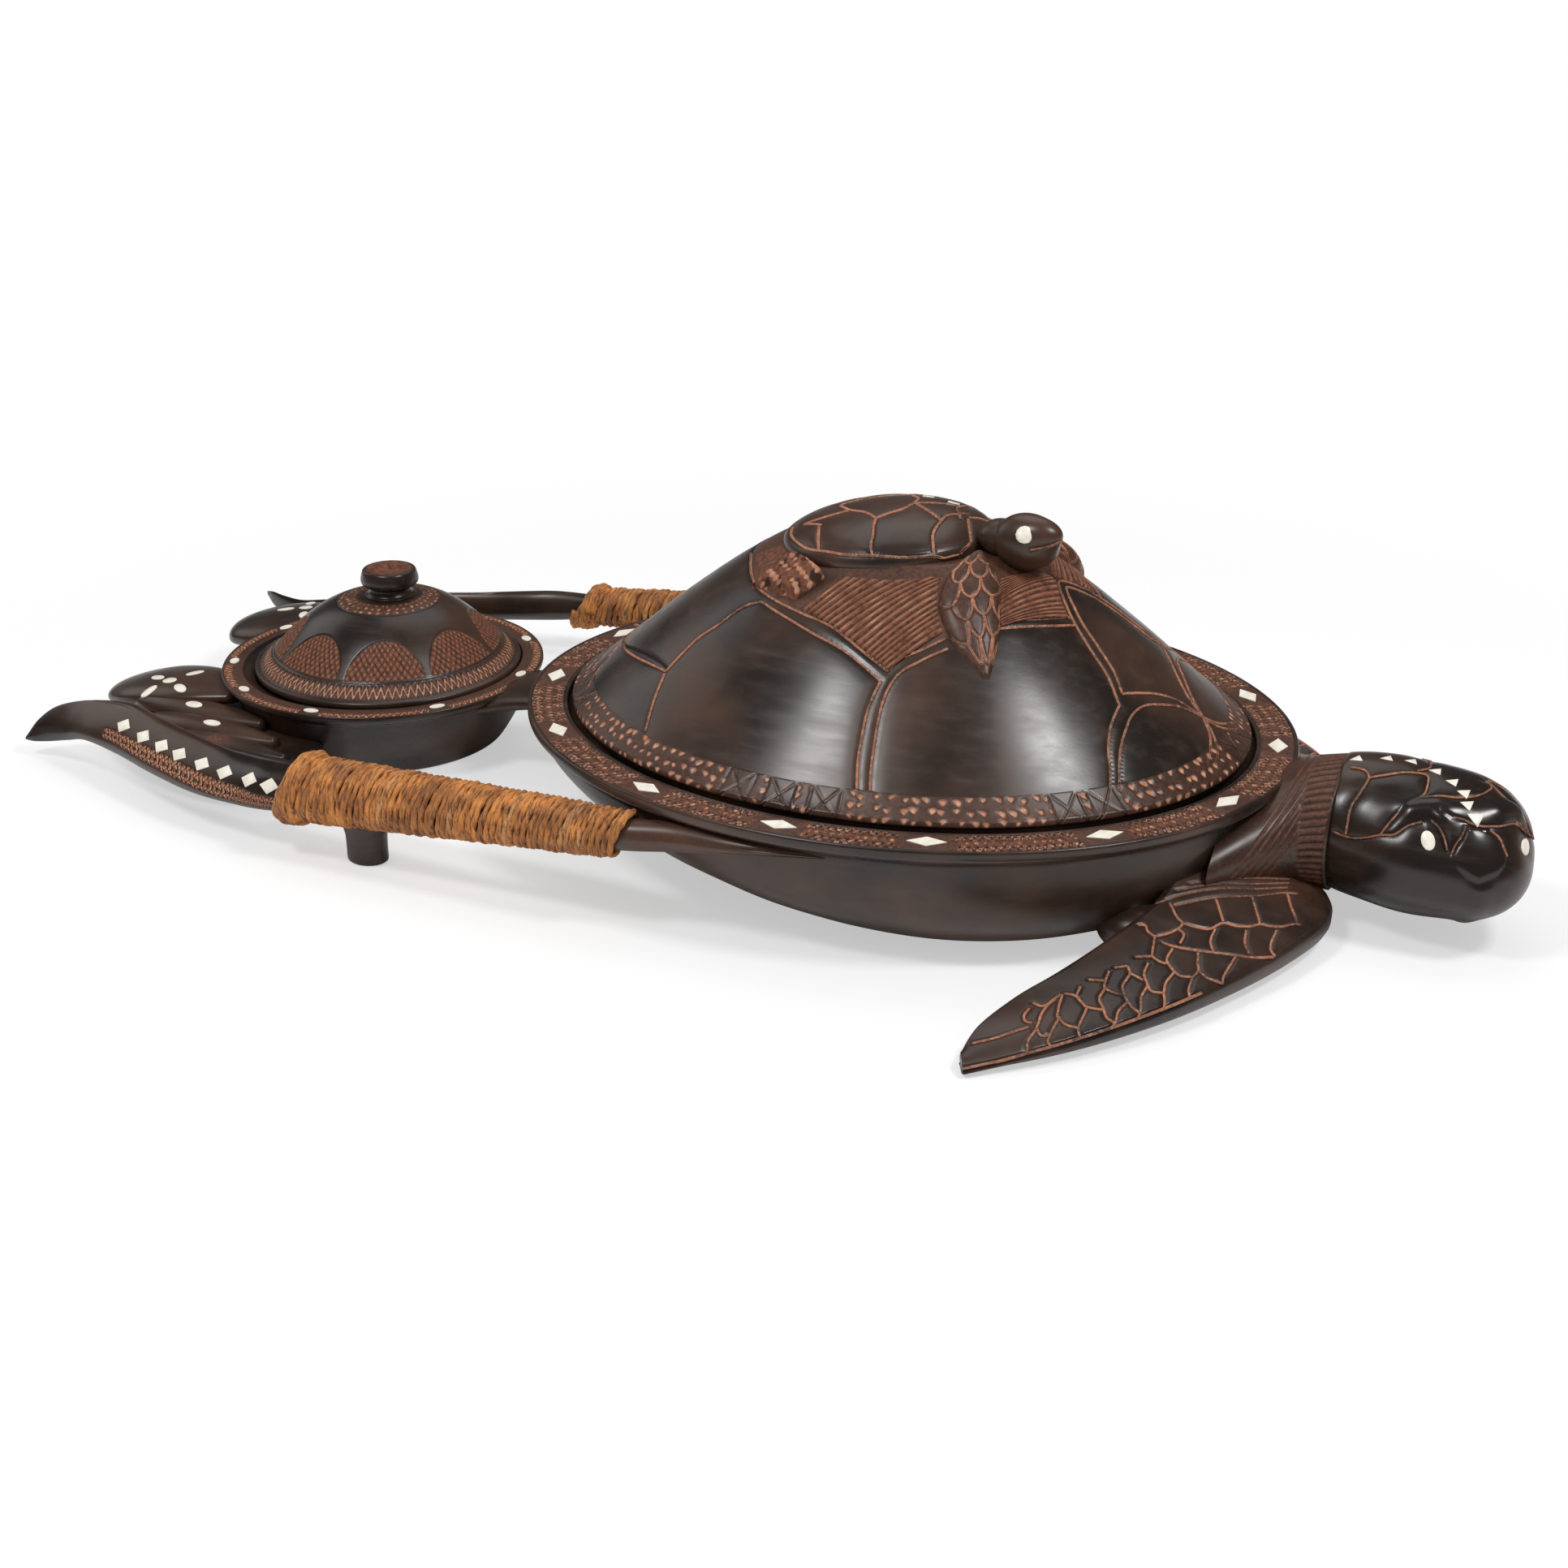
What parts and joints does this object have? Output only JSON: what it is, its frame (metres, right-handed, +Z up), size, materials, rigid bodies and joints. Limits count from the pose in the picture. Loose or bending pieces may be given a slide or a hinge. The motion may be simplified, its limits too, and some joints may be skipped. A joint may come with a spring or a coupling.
{
  "type": "covered feast bowl",
  "caption": "Carved dark wood feast bowl in the form of a sea turtle, with a domed lid carrying a small turtle, a small covered bowl at the tail and cord-bound handles",
  "frame": {"origin": "middle of the bounding box at the base, on the surface that the bowl stands on", "axes": "+X toward the head, +Y to the turtle's left, +Z up"},
  "size_m": [0.9188, 0.5222, 0.2065],
  "materials": {
    "dark_wood": "near-black stained and polished wood with orange-brown carved grooves",
    "shell_inlay": null,
    "binding_cord": "dry twisted plant-fibre cord"
  },
  "bodies": {
    "root": {"main_bowl": "dark_wood", "neck_collar": "dark_wood", "head": "dark_wood", "front_flipper_right": "dark_wood", "front_flipper_left": "dark_wood", "tail_bridge": "dark_wood", "small_bowl": "dark_wood", "handle_right": "dark_wood", "handle_left": "dark_wood", "foot_right": "dark_wood", "foot_left": "dark_wood", "hind_blade_right": "dark_wood", "hind_blade_left": "dark_wood", "hind_flipper_right": "dark_wood", "hind_flipper_left": "dark_wood", "rim_inlay_1": "shell_inlay", "rim_inlay_2": "shell_inlay", "rim_inlay_3": "shell_inlay", "rim_inlay_4": "shell_inlay", "rim_inlay_5": "shell_inlay", "rim_inlay_6": "shell_inlay", "rim_inlay_7": "shell_inlay", "rim_inlay_8": "shell_inlay", "rim_inlay_9": "shell_inlay", "rim_inlay_10": "shell_inlay", "rim_inlay_11": "shell_inlay", "rim_inlay_12": "shell_inlay", "rim_inlay_13": "shell_inlay", "rim_inlay_14": "shell_inlay", "small_rim_inlay_1": "shell_inlay", "small_rim_inlay_2": "shell_inlay", "small_rim_inlay_3": "shell_inlay", "small_rim_inlay_4": "shell_inlay", "small_rim_inlay_5": "shell_inlay", "small_rim_inlay_6": "shell_inlay", "small_rim_inlay_7": "shell_inlay", "small_rim_inlay_8": "shell_inlay", "small_rim_inlay_9": "shell_inlay", "head_eye_right": "shell_inlay", "head_eye_left": "shell_inlay", "binding_right": "binding_cord", "binding_left": "binding_cord"},
    "main_lid": {"main_lid": "dark_wood", "lid_turtle_shell": "dark_wood", "lid_turtle_head": "dark_wood", "lid_turtle_front_flipper_right": "dark_wood", "lid_turtle_front_flipper_left": "dark_wood", "lid_turtle_hind_flipper_right": "dark_wood", "lid_turtle_hind_flipper_left": "dark_wood", "lid_turtle_eye_right": "shell_inlay", "lid_turtle_eye_left": "shell_inlay"},
    "small_lid": {"small_lid": "dark_wood", "small_lid_knob": "dark_wood"}
  },
  "joints": [
    {"name": "main_lid_lift", "type": "slide", "parent": "root", "child": "main_lid", "axis": [0, 0, 1], "range_m": [0, 0.16]},
    {"name": "small_lid_lift", "type": "slide", "parent": "root", "child": "small_lid", "axis": [0, 0, 1], "range_m": [0, 0.12]}
  ]
}
